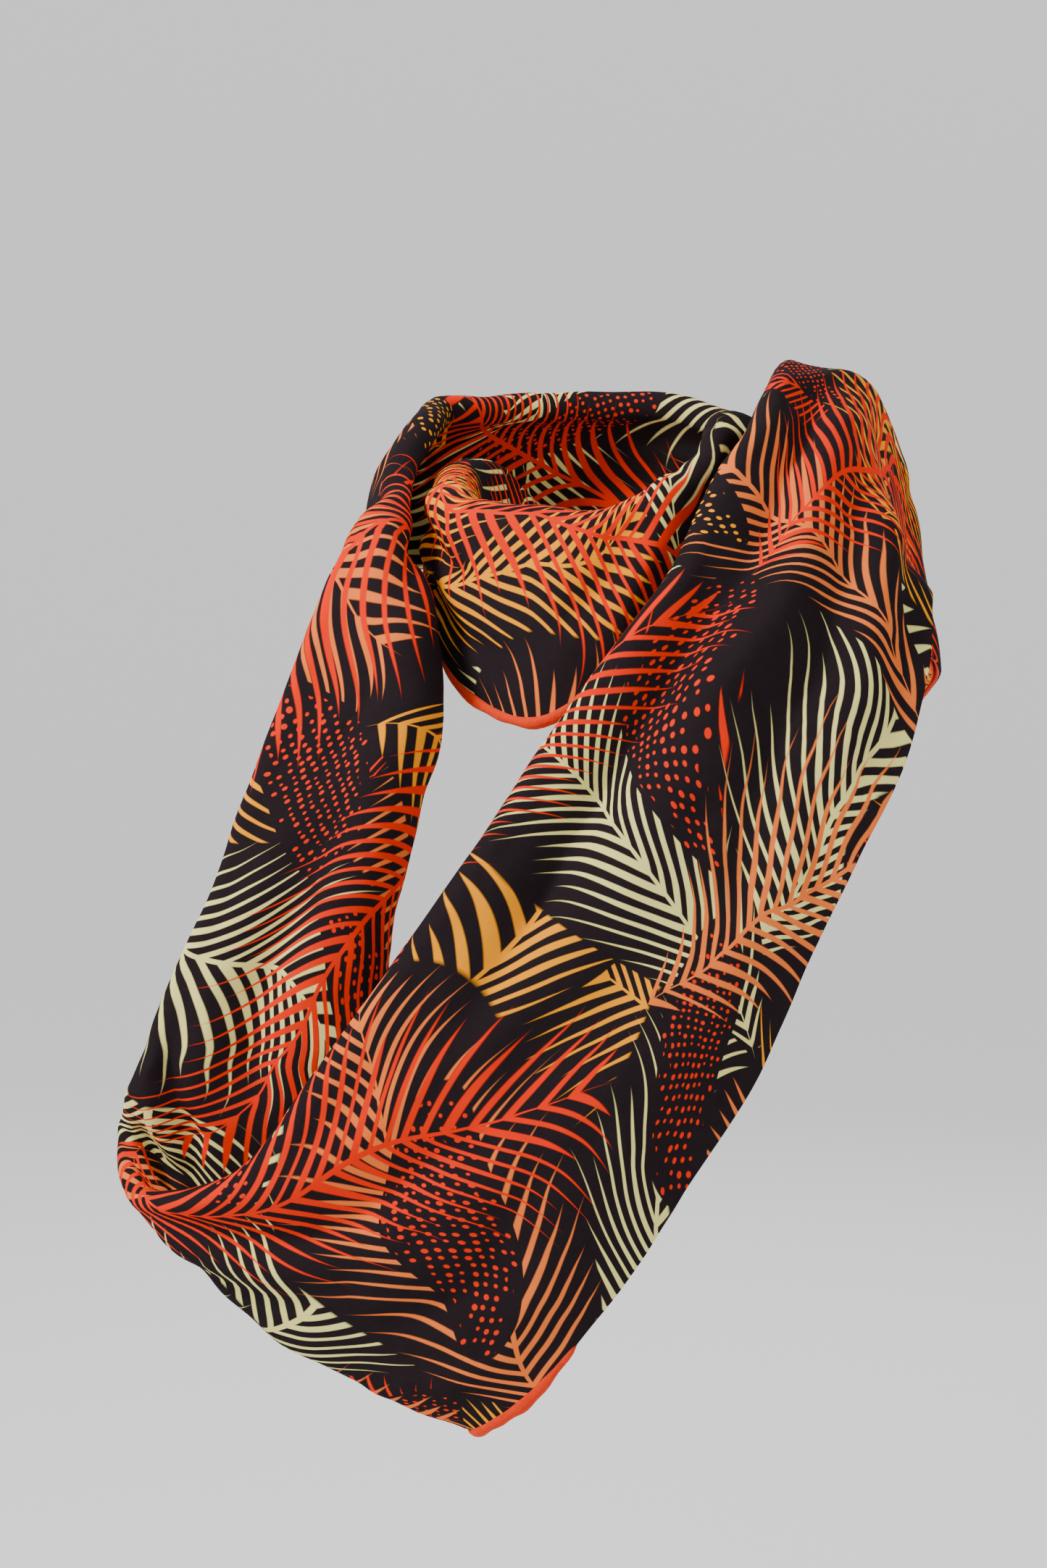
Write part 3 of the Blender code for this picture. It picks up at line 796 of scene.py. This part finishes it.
@dataclass(frozen=True)
class PrintLayer:
    """One layer of the print: palm fronds, or drifts of seeds, on a half-drop repeat of tiles in metres.

    Each chance draws with a number of its own, the layer's plus one of the draws, so that no two agree.
    """

    motif: Motif
    colors: tuple[Color, ...]
    turn_deg: float
    length: float
    width: float
    pitch: float
    duty: float
    skip: float
    shift: tuple[float, float] = (0.0, 0.0)
    bow: float = 0.016
    sway: float = 0.30
    clear: float = 0.9
    uneven_drop: float = 0.16
    tiles_apart: float = 7.0
    golden: float = 0.381966
    color_step: float = 0.3
    sway_draw: float = 5.0
    skip_draw: float = 9.0
    side_draw: float = 3.0
    seed_draw: float = 2.0
    fronds: FrondShape = FrondShape()
    drifts: SeedShape = SeedShape()

    def lay(self, shader: Shader, below: Socket, ground: Socket, x: Wire, y: Wire, luck: float) -> Socket:
        """Prints the layer over what is below it, from the cloth's map in metres.

        Args:
            shader: the material's nodes.
            below: the colour so far.
            ground: the colour of the ground, which is kept clear round each motif.
            x: metres along the ring.
            y: metres across from the fold.
            luck: the layer's number.

        Returns:
            The colour with this layer on it.
        """
        turn = math.radians(self.turn_deg)
        p = (x + self.shift[0]) * math.cos(turn) + (y + self.shift[1]) * math.sin(turn)
        q = (y + self.shift[1]) * math.cos(turn) - (x + self.shift[0]) * math.sin(turn)
        column = (q / self.width).floor()
        along = p / self.length + ((column * 0.5).rest() + shader.chance(column, luck) * self.uneven_drop)
        p = (along.rest() - 0.5) * self.length
        q = ((q / self.width).rest() - 0.5) * self.width
        tile = along.floor() * self.tiles_apart + column
        choice = (tile * self.golden + luck * self.color_step).rest()
        ink = self.colors[0]
        for step, color in enumerate(self.colors[1:], 1):
            ink = shader.mix(choice.above(step / len(self.colors)), ink, color)
        sway = (shader.chance(tile, luck + self.sway_draw) - 0.5) * self.sway
        shown = shader.chance(tile, luck + self.skip_draw).above(self.skip)
        p, q = p - q * sway, q + p * sway
        if self.motif is Motif.SEEDS:
            drawn, kept = self.seeds(shader, p, q, luck)
        else:
            s = p / (self.length / 2)
            drawn, kept = self.frond(shader, p, q + (s * s - 0.25) * self.bow, tile, luck)
        return shader.mix(drawn * shown, shader.mix(kept * shown, below, ground), ink)

    def longest(self, s: Wire) -> Wire:
        """Length in metres of the leaflets at a share of the midrib, from minus one to one."""
        shape = self.fronds
        return (1.0 - abs(s) * s * s).over(0.0) * (1.0 - s * shape.taper) * (self.width * shape.reach)

    def frond(self, shader: Shader, p: Wire, q: Wire, tile: Wire, luck: float) -> tuple[Wire, Wire]:
        """A midrib with slanting leaflets on both sides, longest below its middle.

        Args:
            shader: the material's nodes.
            p: metres along the midrib.
            q: metres from the midrib.
            tile: the tile's number.
            luck: the layer's number.

        Returns:
            The frond, and its outline filled in.
        """
        shape = self.fronds
        away = abs(q)
        half = self.length * shape.half
        root = p - away * shape.lean + away * away * shape.curl
        number = (root / self.pitch).floor()
        from_line = abs((root / self.pitch).rest() - 0.5)
        chance = shader.chance(number, tile, q.above(0.0) * self.side_draw + luck)
        longest = self.longest((number + 0.5) * (self.pitch / half) + shape.start)
        share = away / (longest * (1.0 - chance * shape.ragged) + shape.least)
        leaflet = (1.0 - share * share) * (self.duty / 2) * (shape.thin + shape.thicker * chance)
        leaflets = ((leaflet - from_line) * shape.leaf_edge).clamped() * longest.above(shape.shortest)
        t = p / half + shape.rib_start
        rib = (((1.0 - t * t) * shape.rib - away) * shape.rib_edge).clamped()
        outline = self.longest(root / half + shape.start) * self.clear
        return leaflets.over(rib), ((outline - away) * shape.outline_edge).clamped()

    def seeds(self, shader: Shader, p: Wire, q: Wire, luck: float) -> tuple[Wire, Wire]:
        """Round seeds of uneven size, strewn loosely where a drift lies.

        Args:
            shader: the material's nodes.
            p: metres along the tile.
            q: metres across the tile.
            luck: the layer's number.

        Returns:
            The seeds, and the drift filled in.
        """
        shape = self.drifts
        row, column = (q / self.pitch).floor(), (p / self.pitch).floor()
        chance = shader.chance(row, column, luck)
        other = shader.chance(column, row, luck + self.seed_draw)
        dx = ((p / self.pitch).rest() - 0.5 + (chance - 0.5) * shape.stray) * self.pitch
        dy = ((q / self.pitch).rest() - 0.5 + (other - 0.5) * shape.stray) * self.pitch
        s = p / (self.length * shape.reach)
        t = (q + p * p * shape.bend) / (self.width * shape.spread)
        drift = 1.0 - s * s - t * t
        size = (shape.small + shape.larger * chance) * (self.duty * self.pitch / 2)
        drawn = ((size - (dx * dx + dy * dy).root()) * shape.seed_edge).clamped()
        strewn = ((drift - other * shape.sparse) * shape.drift_edge).clamped()
        return drawn * strewn, (drift * shape.drift_edge).clamped()


CREAM = (0.80, 0.73, 0.24, 1.0)
PEACH = (0.82, 0.175, 0.032, 1.0)
AMBER = (0.90, 0.320, 0.0002, 1.0)
RED = (0.80, 0.021, 0.0002, 1.0)
GROUND = (0.0140, 0.0092, 0.0106, 1.0)
WORN_GROUND = (0.0190, 0.0130, 0.0148, 1.0)

# Motif, inks, turn in degrees; a tile's length, width and pitch in metres; shares inked and skipped; shift
PRINT = (
    PrintLayer(Motif.FRONDS, (CREAM, RED, AMBER), 98, 0.150, 0.092, 0.0068, 0.52, 0.0, (0.03, 0.05)),
    PrintLayer(Motif.FRONDS, (PEACH, CREAM, AMBER, CREAM), 12, 0.170, 0.100, 0.0072, 0.52, 0.0, bow=-0.02),
    PrintLayer(Motif.FRONDS, (CREAM, PEACH, AMBER, PEACH), 64, 0.20, 0.116, 0.0076, 0.52, 0.15, (0.07, 0.03)),
    PrintLayer(Motif.SEEDS, (AMBER, RED, RED), 35, 0.120, 0.085, 0.0036, 0.62, 0.35, (0.02, 0.07)),
    PrintLayer(Motif.FRONDS, (RED, RED, PEACH), -26, 0.230, 0.118, 0.0080, 0.48, 0.1, bow=0.022, clear=0.0),
)


@dataclass(frozen=True)
class PrintedCotton:
    """Fine soft cotton, near black, printed with palm fronds and strewn seeds."""

    name: str = "printed_cotton"
    shine: float = 0.02
    roughness: float = 0.84
    roughness_range: float = 0.16
    bends_per_metre: tuple[float, float] = (13.0, 11.0)
    bend: tuple[float, float] = (0.046, 0.050)
    bends_apart: float = 3.7
    first_luck: float = 0.37
    wear_per_metre: float = 260.0
    wear_detail: float = 4.0
    thread: float = 0.00042
    weave: float = 0.5
    nap_per_metre: float = 900.0
    nap_detail: float = 3.0
    nap: float = 1.4
    bump: float = 0.22
    bump_depth: float = 0.00025

    def make(self) -> bpy.types.Material:
        """The material, read from the cloth's own map."""
        shader = Shader(self.name)
        x, y = shader.cloth_map()
        x_ink = x + (shader.noise(x, y, self.bends_per_metre[0], 0.0) - 0.5) * self.bend[0]
        y_ink = y + (shader.noise(x + self.bends_apart, y, self.bends_per_metre[1], 0.0) - 0.5) * self.bend[1]
        wear = shader.noise(x, y, self.wear_per_metre, self.wear_detail)
        ground = shader.mix(wear, GROUND, WORN_GROUND)
        color = ground
        for number, layer in enumerate(PRINT):
            color = layer.lay(shader, color, ground, x_ink, y_ink, number + self.first_luck)
        warp = (x * (math.tau / self.thread)).sine()
        weft = (y * (math.tau / self.thread)).sine()
        nap = shader.noise(x, y, self.nap_per_metre, self.nap_detail)
        height = warp * weft * self.weave + nap * self.nap
        bump = shader.wire("Bump", Strength=self.bump, Distance=self.bump_depth, Height=height)
        rough = self.roughness + (wear - 0.5) * self.roughness_range
        return shader.finish(Base_Color=color, Normal=bump, Roughness=rough, Specular_IOR_Level=self.shine)


@dataclass(frozen=True)
class FleeceLining:
    """Plain orange fleece, fuzzy and matte, with painted shade in the hollows of its fuzz."""

    name: str = "fleece_lining"
    color: Color = (0.84, 0.050, 0.004, 1.0)
    hollow_shade: Color = (0.58, 0.026, 0.002, 1.0)
    shine: float = 0.2
    sheen: float = 0.04
    roughness: float = 0.95
    fuzz_per_metre: float = 700.0
    fuzz_detail: float = 4.0
    fuzz_roughness: float = 0.6
    clumps_per_metre: float = 700.0 / 6
    clumps_detail: float = 2.0
    shade_below: float = 0.6
    bump: float = 0.6
    bump_depth: float = 0.0006

    def make(self) -> bpy.types.Material:
        """The material, read from object coordinates."""
        shader = Shader(self.name)
        at = shader.node("TexCoord").outputs["Object"]
        fuzz = {"Scale": self.fuzz_per_metre, "Detail": self.fuzz_detail, "Roughness": self.fuzz_roughness}
        clumps = {"Scale": self.clumps_per_metre, "Detail": self.clumps_detail}
        height = shader.wire("TexNoise", Vector=at, **fuzz) + shader.wire("TexNoise", Vector=at, **clumps)
        # Painted shade: the orange darkens where the fuzz is low, the same height that sinks the bump.
        color = shader.mix((height - self.shade_below).clamped(), self.hollow_shade, self.color)
        bump = shader.wire("Bump", Strength=self.bump, Distance=self.bump_depth, Height=height)
        matte = {"Roughness": self.roughness, "Sheen_Weight": self.sheen, "Specular_IOR_Level": self.shine}
        return shader.finish(Base_Color=color, Normal=bump, **matte)


@dataclass(frozen=True)
class PaleStudio:
    """The plain pale matt finish of the floor and backdrop."""

    name: str = "pale_backdrop"
    color: Color = (0.60, 0.60, 0.61, 1.0)
    roughness: float = 0.9
    glow: float = 0.45

    def make(self) -> bpy.types.Material:
        """The material."""
        return Shader(self.name).finish(
            Base_Color=self.color,
            Roughness=self.roughness,
            Emission_Color=self.color,
            Emission_Strength=self.glow / self.color[0],
        )


@dataclass
class LiningRoll:
    """A length of the lining's soft roll that shows just past the open edge of one layer, in mm."""

    name: str
    first: str
    last: str
    radius: float
    sides: int = 14
    taper: float = 0.3
    tuck: float = 0.55
    waves: tuple[Place, ...] = ((0.10, 5.3, 0.0), (0.07, 2.1, 1.0))

    def build(self, band: Band) -> Piece:
        """Makes the roll as a slightly uneven tube along the edge."""
        rows = band.rings(self.first, self.last)
        edge = band.middle[rows, 0]
        normal = band.normal[rows, 0]
        travel = unit(np.gradient(edge, axis=0))
        inward = unit(np.cross(normal, travel))
        share = np.linspace(0.0, 1.0, len(rows))
        swell = self.taper + (1 - self.taper) * np.sin(math.pi * share) ** 0.5
        uneven = 1.0
        for height, length, start in self.waves:
            uneven = uneven + height * np.sin(band.run[rows] / length + start)
        size = self.radius * swell * uneven
        centre = edge - inward * (size * self.tuck)[:, None]
        angles = math.tau * np.arange(self.sides) / self.sides
        rings = (
            centre[:, None]
            + normal[:, None] * (np.cos(angles)[None, :] * size[:, None])[..., None]
            + inward[:, None] * (np.sin(angles)[None, :] * size[:, None])[..., None]
        )
        top = (len(rows) - 1) * self.sides
        ends = [tuple(reversed(range(self.sides))), tuple(range(top, top + self.sides))]
        faces = ring_faces(len(rows), self.sides, turned=True) + ends
        return new_piece(self.name + "_fleece", to_world(rings.reshape(-1, 3)), faces)


@dataclass(frozen=True)
class SoftBox:
    """A square soft light: its place in the turned view and its side in mm, and its power in watts."""

    name: str
    spot: Place
    side: float
    power: float


@dataclass
class Studio:
    """The camera and soft lights, in mm in the turned view, and the pale floor and backdrop, in metres."""

    target: Place = (-50.0, -72.0, 0.0)
    distance: float = 1430.0
    elevation_deg: float = 6.0
    lens: float = 85.0
    film: float = 36.0
    clip_start: float = 0.05
    floor_drop: float = 0.25
    floor_radius: float = 2.2
    floor_middle: float = 0.02
    floor_sides: int = 72
    cove: float = 1.2
    cove_steps: int = 14
    wall_height: float = 2.6
    light_target: Place = (-30.0, -60.0, 0.0)
    lights: tuple[SoftBox, ...] = (
        SoftBox("key_softbox", (-1050.0, 850.0, 620.0), 360.0, 27.0),
        SoftBox("fill_softbox", (950.0, 350.0, 900.0), 900.0, 2.6),
        SoftBox("top_softbox", (0.0, 1300.0, -250.0), 800.0, 9.0),
        SoftBox("back_softbox", (200.0, 500.0, -1300.0), 900.0, 7.0),
    )
    sky: Color = (0.80, 0.81, 0.83, 1.0)
    sky_strength: float = 0.36

    @staticmethod
    def add(name: str, data: bpy.types.ID, eye: Place, target: Place) -> Piece:
        """Adds a camera or light that looks at a target.

        Args:
            name: the object's name.
            data: the camera or light.
            eye: where it stands in the turned view, in mm.
            target: where it looks, in mm.

        Returns:
            The new object.
        """
        start, end = (Vector(to_world(np.array(place, float)).tolist()) for place in (eye, target))
        made = bpy.data.objects.new(name, data)
        made.location = start
        made.rotation_euler = (end - start).to_track_quat("-Z", "Y").to_euler()
        bpy.context.scene.collection.objects.link(made)
        return made

    def build_camera(self) -> None:
        """Puts the camera where the photograph was taken from."""
        rise = math.radians(self.elevation_deg)
        across, up, out = self.target
        eye = (across, up + self.distance * math.sin(rise), out + self.distance * math.cos(rise))
        data = bpy.data.cameras.new("photo_camera")
        data.lens = self.lens
        data.sensor_width = self.film
        data.clip_start = self.clip_start
        bpy.context.scene.camera = self.add("photo_camera", data, eye, self.target)

    def build_backdrop(self, lowest: float) -> None:
        """Makes a pale floor that curves up into a backdrop on all sides.

        Args:
            lowest: the object's lowest point, in metres.
        """
        profile = [(self.floor_middle, 0.0), (self.floor_radius, 0.0)]
        for step in range(1, self.cove_steps + 1):
            angle = math.pi / 2 * step / self.cove_steps
            reach = self.floor_radius + self.cove * math.sin(angle)
            profile.append((reach, self.cove * (1 - math.cos(angle))))
        profile.append((self.floor_radius + self.cove, self.wall_height))
        base = lowest - self.floor_drop
        turns = [math.tau * side / self.floor_sides for side in range(self.floor_sides)]
        points = [(r * math.cos(turn), r * math.sin(turn), base + up) for r, up in profile for turn in turns]
        faces = [tuple(range(self.floor_sides)), *ring_faces(len(profile), self.floor_sides)]
        floor = new_piece("pale_floor", np.array(points), faces)
        floor.data.materials.append(PaleStudio().make())
        floor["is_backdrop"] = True

    def build_lights(self) -> None:
        """Soft boxes in front, to both sides and above, and a pale world."""
        for box in self.lights:
            data = bpy.data.lights.new(box.name, "AREA")
            data.shape = "SQUARE"
            data.size = box.side * MM
            data.energy = box.power
            self.add(box.name, data, box.spot, self.light_target)
        world = bpy.data.worlds.new("pale_world")
        world.use_nodes = True
        background = world.node_tree.nodes["Background"]
        background.inputs["Color"].default_value = self.sky
        background.inputs["Strength"].default_value = self.sky_strength
        bpy.context.scene.world = world


# Columns as in Crease
CREASE_ROWS = (
    # Top of the chest panel and shoulder, drawn together by the turn
    (-4.6, 6, (("over_2", 0.84), ("over_1", 0.82), ("panel_9", 0.81), ("panel_7", 0.85))),
    (3.4, 7, (("over_3", 0.68), ("over_1", 0.68), ("panel_9", 0.65), ("panel_6", 0.7))),
    (-3.8, 7.5, (("over_1", 0.52), ("panel_10", 0.49), ("panel_8", 0.45), ("panel_6", 0.42))),
    (3.2, 8.5, (("over_1", 0.36), ("panel_10", 0.32), ("panel_8", 0.26), ("panel_7", 0.22))),
    (-2.8, 7.5, (("over_1", 0.2), ("panel_10", 0.17), ("panel_8", 0.12))),
    (1.2, 4, (("over_2", 0.76, 0.3), ("over_1", 0.75), ("panel_10", 0.74))),
    # Chest panel, broad
    (-4.2, 13, (("panel_2", 0.84), ("panel_3", 0.6), ("panel_5", 0.5))),
    (3.8, 13, (("panel_3", 0.24), ("panel_5", 0.28), ("panel_6", 0.2))),
    (-8.5, 8, (("panel_8", 0.92, 0.5), ("panel_7", 0.85), ("panel_5", 0.83), ("panel_3", 0.78, 0.4))),
    (3.4, 12, (("panel_8", 0.72, 0.5), ("panel_6", 0.64, 0.5), ("panel_4", 0.62, 0.5))),
    (-3.0, 9, (("panel_8", 0.5), ("panel_6", 0.4, 0.5), ("panel_5", 0.3, 0.3))),
    (1.2, 6, (("panel_2", 0.44, 0.5), ("panel_4", 0.36), ("panel_5", 0.42))),
    # Pulls that run out from the bottom turn
    (-4.4, 7, (("turn_3", 0.96), ("panel_1", 0.82), ("panel_2", 0.7), ("panel_3", 0.62))),
    (3.8, 7, (("turn_2", 0.94), ("turn_3", 0.78), ("panel_1", 0.62))),
    (2.8, 6, (("strand_8", 0.88), ("strand_9", 0.8), ("turn_1", 0.7))),
    (2.8, 8, (("panel_1", 0.97, 0.3), ("panel_2", 0.86, 0.5), ("panel_3", 0.78, 0.6))),
    (-2.8, 8, (("turn_3", 0.4), ("panel_2", 0.34), ("panel_3", 0.42, 0.5))),
    (2.4, 8, (("turn_1", 0.16, 0.5), ("panel_1", 0.14, 0.5), ("panel_3", 0.2))),
    (-1.6, 4, (("turn_1", 0.9, 0.6), ("turn_2", 0.7, 0.6), ("turn_3", 0.56, 0.4))),
    # Left strand: the valley beside its crest, the lower trough and swell, crumples above the corner
    (4.8, 6, (("side_3", 0.72), ("strand_1", 0.7), ("strand_3", 0.66))),
    (-2.0, 5, (("side_3", 0.88, 0.2), ("strand_1", 0.86, 0.7), ("strand_3", 0.82))),
    (4.2, 7, (("strand_5", 0.66), ("strand_7", 0.7), ("strand_8", 0.64))),
    (-3.8, 8, (("strand_5", 0.86), ("strand_7", 0.88), ("strand_8", 0.8))),
    (4.6, 4, (("strand_7", 1, 0.3), ("strand_7", 0.9, 0.9), ("strand_8", 0.78, 0.5)), 0.2),
    (-4.4, 3.6, (("strand_7", 1, 0.8), ("strand_8", 0.92, 0.3), ("strand_8", 0.82, 0.9)), 0.2),
    (4.4, 3.4, (("strand_8", 1, 0.4), ("strand_9", 0.92), ("strand_9", 0.86, 0.5)), 0.2),
    (-3.6, 3.2, (("strand_8", 1, 0.9), ("strand_9", 0.96, 0.5), ("turn_1", 0.86, 0.2)), 0.2),
    (-1.6, 7, (("strand_6", 0.3, 0.3), ("strand_8", 0.36), ("strand_9", 0.3))),
    (1.4, 4, (("strand_3", 0.76), ("strand_4", 0.72), ("strand_5", 0.78))),
    # Back: swags of the outer stretch and lengthwise folds of the inner one
    (-3.8, 9, (("outer_1", 0.78), ("outer_2", 0.72), ("outer_3", 0.66), ("outer_5", 0.74))),
    (3.2, 10, (("outer_1", 0.54), ("outer_3", 0.46), ("outer_5", 0.56))),
    (-3.4, 9.5, (("outer_1", 0.3), ("outer_3", 0.24), ("outer_4", 0.28))),
    (2.0, 7, (("outer_2", 0.1, 0.4), ("outer_3", 0.12, 0.4), ("outer_4", 0.1, 0.6))),
    (-1.6, 4.5, (("over_3", 0.58, 0.4), ("outer_1", 0.62, 0.6), ("outer_2", 0.58, 0.5))),
    (1.6, 5, (("outer_3", 0.86, 0.5), ("outer_4", 0.82, 0.5), ("outer_5", 0.88, 0.4))),
    (-1.8, 4.5, (("inner_1", 0.66, 0.5), ("inner_3", 0.6), ("inner_5", 0.66))),
    (1.8, 5, (("inner_2", 0.4), ("inner_4", 0.36), ("inner_6", 0.42))),
    (-1.8, 5, (("inner_4", 0.56, 0.5), ("inner_6", 0.5), ("side_2", 0.56))),
    (1.6, 5, (("inner_6", 0.24), ("side_1", 0.22, 0.5), ("side_3", 0.26))),
    # Neck wrap: gathers that fan out from its left end, and the sag at its middle
    (1.9, 3.2, (("wrap_2", 0.4, 0.4), ("wrap_3", 0.46, 0.6), ("wrap_5", 0.52, 0.2)), 0.3),
    (-2.2, 3, (("wrap_2", 0.32, 0.5), ("wrap_3", 0.36, 0.8), ("wrap_5", 0.42, 0.6)), 0.3),
    (1.8, 3.2, (("wrap_2", 0.24, 0.6), ("wrap_4", 0.27), ("wrap_5", 0.32, 0.8)), 0.3),
    (-2.0, 3.4, (("wrap_2", 0.15, 0.7), ("wrap_4", 0.17, 0.2), ("wrap_6", 0.2)), 0.3),
    (1.4, 5, (("wrap_3", 0.06, 0.8), ("wrap_5", 0.08), ("wrap_6", 0.06, 0.5))),
    (-2.0, 6, (("wrap_7", 0.56, 0.9), ("wrap_7", 0.36, 0.2), ("wrap_6", 0.22, 0.2))),
    (1.8, 6, (("wrap_8", 0.52, 0.7), ("wrap_8", 0.3), ("wrap_7", 0.14))),
    (-1.8, 3.2, (("wrap_8", 0.34, 0.6), ("wrap_9", 0.36, 0.6), ("pinch_2", 0.34)), 0.25),
    # Pinch: tight little folds
    (1.5, 2.6, (("wrap_9", 0.66, 0.4), ("pinch_1", 0.62, 0.6), ("pinch_3", 0.6)), 0.25),
    (-1.6, 2.6, (("wrap_9", 0.5, 0.6), ("pinch_1", 0.48, 0.8), ("pinch_3", 0.46, 0.2)), 0.25),
    (1.4, 2.6, (("pinch_1", 0.22), ("pinch_2", 0.22), ("pinch_3", 0.28, 0.3)), 0.25),
)
CREASES = tuple(Crease(*row) for row in CREASE_ROWS)

STRETCHES = (
    Stretch("left_strand", "side_1", "turn_1", Held.HUNG),
    Stretch("bottom_turn", "turn_1", "panel_1", Held.FOLDED),
    Stretch("front_panel", "panel_1", "over_1", Held.HUNG),
    Stretch("shoulder_turn", "over_1", "outer_1", Held.DRAPED),
    Stretch("back_outer", "outer_1", "wrap_1", Held.DRAPED),
    Stretch("neck_wrap", "wrap_1", "pinch_1", Held.GATHERED),
    Stretch("pinch", "pinch_1", "inner_1", Held.GATHERED),
    Stretch("back_inner", "inner_1", "side_1", Held.DRAPED),
)

ROLLS = (
    (LiningRoll("lining_roll_neck", "wrap_4", "wrap_8", 2.2), "neck_wrap"),
    (LiningRoll("lining_roll_tip", "turn_1", "panel_2", 2.4), "front_panel"),
)


@dataclass
class Scarf:
    """The whole scarf: its stretches and the lengths of lining that show."""

    band: Band

    def build(self) -> None:
        """Builds every piece, attaches it to the root body and hides the imported part it stands for."""
        cotton = PrintedCotton().make()
        fleece = FleeceLining().make()
        rolls: dict[str, list[Piece]] = {}
        for roll, owner in ROLLS:
            piece = roll.build(self.band)
            piece.data.materials.append(fleece)
            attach(piece, "root")
            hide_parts(roll.name)
            rolls.setdefault(owner, []).append(piece)
            LOG.info("built %s", piece.name)
        for stretch in STRETCHES:
            piece = stretch.build(self.band)
            piece.data.materials.append(cotton)
            piece.data.materials.append(fleece)
            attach(piece, "root")
            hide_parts(stretch.name)
            flat = stretch.flat_size(self.band)
            LOG.info("built %s, flat %.3f by %.3f m", piece.name, *flat)


def main() -> None:
    """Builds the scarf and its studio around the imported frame."""
    logging.basicConfig(level=logging.INFO)
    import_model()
    cad_box = [list(corner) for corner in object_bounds()]
    band = Band(BandForm(), CreaseSet(CREASES))
    Scarf(band).build()
    studio = Studio()
    studio.build_camera()
    studio.build_backdrop(cad_box[0][2])
    studio.build_lights()


if __name__ == "__main__":
    main()
